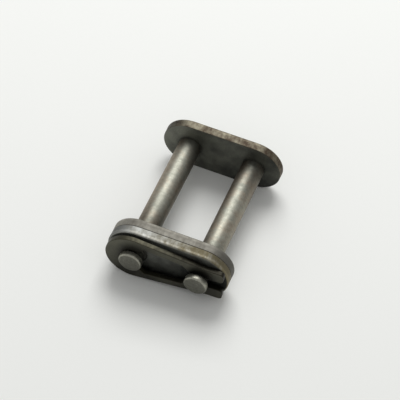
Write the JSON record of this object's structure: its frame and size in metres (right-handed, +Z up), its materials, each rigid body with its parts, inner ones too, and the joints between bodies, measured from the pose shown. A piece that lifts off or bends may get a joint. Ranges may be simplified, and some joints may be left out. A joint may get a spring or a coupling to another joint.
{
  "type": "chain connecting link",
  "caption": "Connecting link of a two-strand roller chain: pins riveted in one plate, loose middle and cover plates, and a spring clip.",
  "frame": {"origin": "on the surface the link stands on, midway between the two pins and midway along them", "axes": "+X along the chain from pin A to pin B, +Y along the pins towards the riveted plate, +Z up from the plates' lower edges"},
  "size_m": [0.0234, 0.0322, 0.0108],
  "materials": {
    "pin_plate": "heat-treated steel, tumbled and oiled, dark",
    "pins": "ground and case-hardened steel, satin",
    "middle_plate": "heat-treated steel, tumbled and oiled",
    "cover_plate": "heat-treated steel, tumbled and oiled",
    "spring_clip": "tempered spring steel, dark oiled"
  },
  "bodies": {
    "riveted_link": {"pin_plate": "pin_plate", "pin_a": "pins", "pin_b": "pins", "spring_clip": "spring_clip"},
    "middle": {"middle_plate": "middle_plate"},
    "cover": {"cover_plate": "cover_plate"}
  },
  "joints": [
    {"name": "middle_plate_slide", "type": "slide", "parent": "cover", "child": "middle", "axis": [0, 1, 0], "range_m": [0, 0.01167]},
    {"name": "cover_plate_slide", "type": "slide", "parent": "riveted_link", "child": "cover", "axis": [0, 1, 0], "range_m": [0, 0.01169]}
  ]
}
